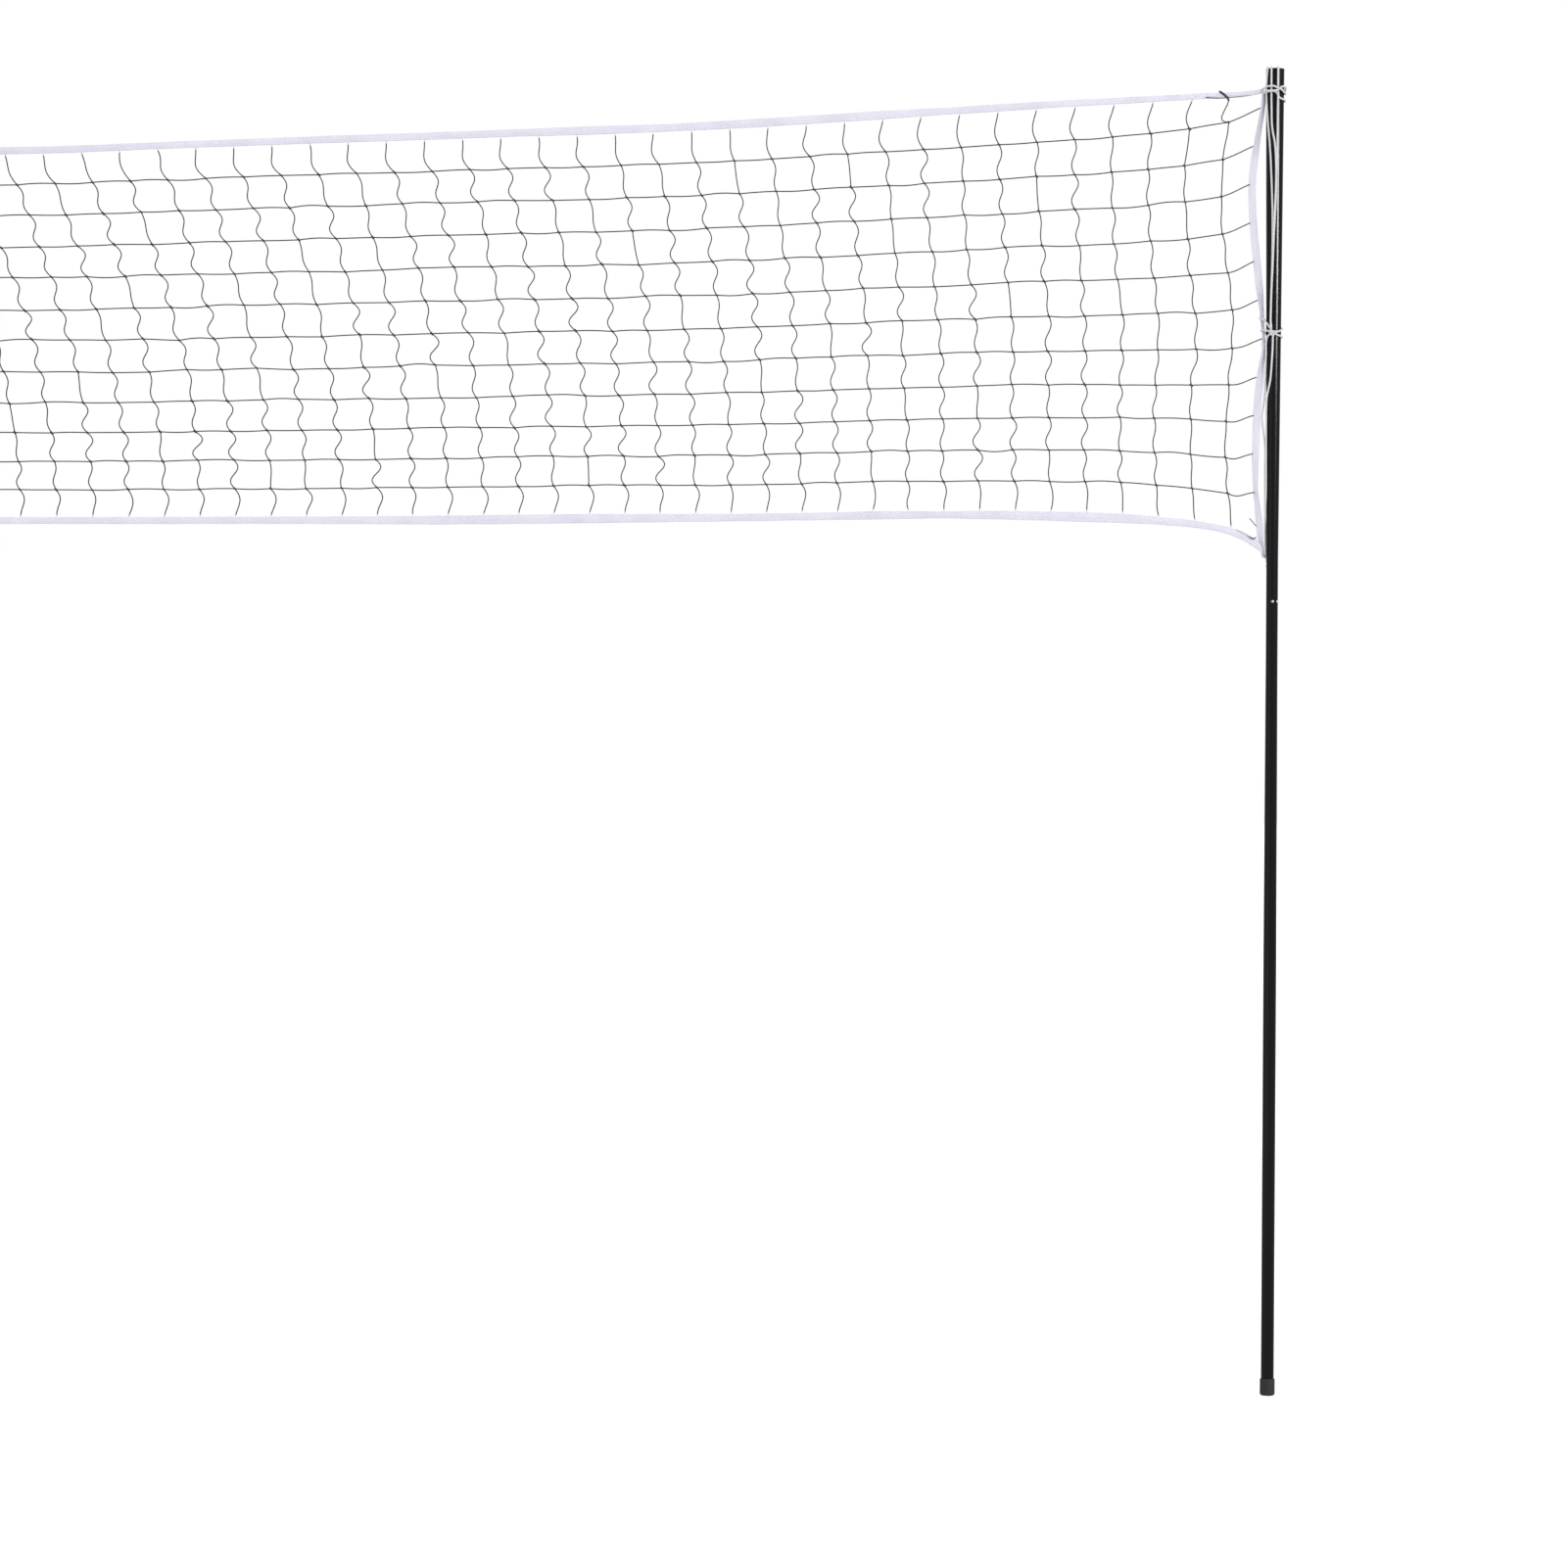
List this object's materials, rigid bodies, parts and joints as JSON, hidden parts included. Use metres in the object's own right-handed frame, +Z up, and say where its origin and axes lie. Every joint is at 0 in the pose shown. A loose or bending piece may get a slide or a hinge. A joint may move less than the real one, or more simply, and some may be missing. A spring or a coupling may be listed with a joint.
{
  "type": "volleyball net on poles",
  "caption": "Portable volleyball net with white tape edges, tied by cords between two black sectional tube poles that stand upright on rubber feet.",
  "frame": {"origin": "on the ground midway between the two poles, in the net's plane", "axes": "+X along the net towards the right pole, +Y through the net towards its back, +Z up"},
  "size_m": [5.5546, 0.0352, 1.7704],
  "materials": {
    "pole_paint": "satin black powder coat",
    "spigot_steel": "plain zinc-plated tube",
    "rivet": "bright domed rivet",
    "foot_rubber": "matte moulded rubber",
    "twine": "twisted dark grey twine",
    "tape": "woven white tape",
    "cord": "twisted white cord"
  },
  "bodies": {
    "net_and_pole_tops": {"netting": "twine", "top_tape": "tape", "bottom_tape": "tape", "head_cord": "cord", "foot_cord": "cord", "right_upper_tube": "pole_paint", "right_upper_spigot": "spigot_steel", "right_upper_rivets": "rivet", "right_side_tape": "tape", "right_top_tie": "cord", "right_middle_tie": "cord", "right_middle_knot": "cord", "right_bottom_knot": "cord", "right_edge_strand": "cord", "right_inner_strand": "cord", "right_outer_strand": "cord", "right_front_leg": "cord", "right_side_leg": "cord", "left_upper_tube": "pole_paint", "left_upper_spigot": "spigot_steel", "left_upper_rivets": "rivet", "left_side_tape": "tape", "left_top_tie": "cord", "left_middle_tie": "cord", "left_middle_knot": "cord", "left_bottom_knot": "cord", "left_edge_strand": "cord", "left_inner_strand": "cord", "left_outer_strand": "cord", "left_front_leg": "cord", "left_side_leg": "cord"},
    "right_middle_section": {"right_middle_tube": "pole_paint", "right_lower_spigot": "spigot_steel", "right_lower_rivets": "rivet"},
    "right_lower_section": {"right_lower_tube": "pole_paint", "right_foot_cap": "foot_rubber"},
    "left_middle_section": {"left_middle_tube": "pole_paint", "left_lower_spigot": "spigot_steel", "left_lower_rivets": "rivet"},
    "left_lower_section": {"left_lower_tube": "pole_paint", "left_foot_cap": "foot_rubber"}
  },
  "joints": [
    {"name": "right_upper_joint", "type": "slide", "parent": "net_and_pole_tops", "child": "right_middle_section", "axis": [0, 0, -1], "range_m": [0, 0.05]},
    {"name": "right_lower_joint", "type": "slide", "parent": "right_middle_section", "child": "right_lower_section", "axis": [0, 0, -1], "range_m": [0, 0.05]},
    {"name": "left_upper_joint", "type": "slide", "parent": "net_and_pole_tops", "child": "left_middle_section", "axis": [0, 0, -1], "range_m": [0, 0.05]},
    {"name": "left_lower_joint", "type": "slide", "parent": "left_middle_section", "child": "left_lower_section", "axis": [0, 0, -1], "range_m": [0, 0.05]}
  ]
}
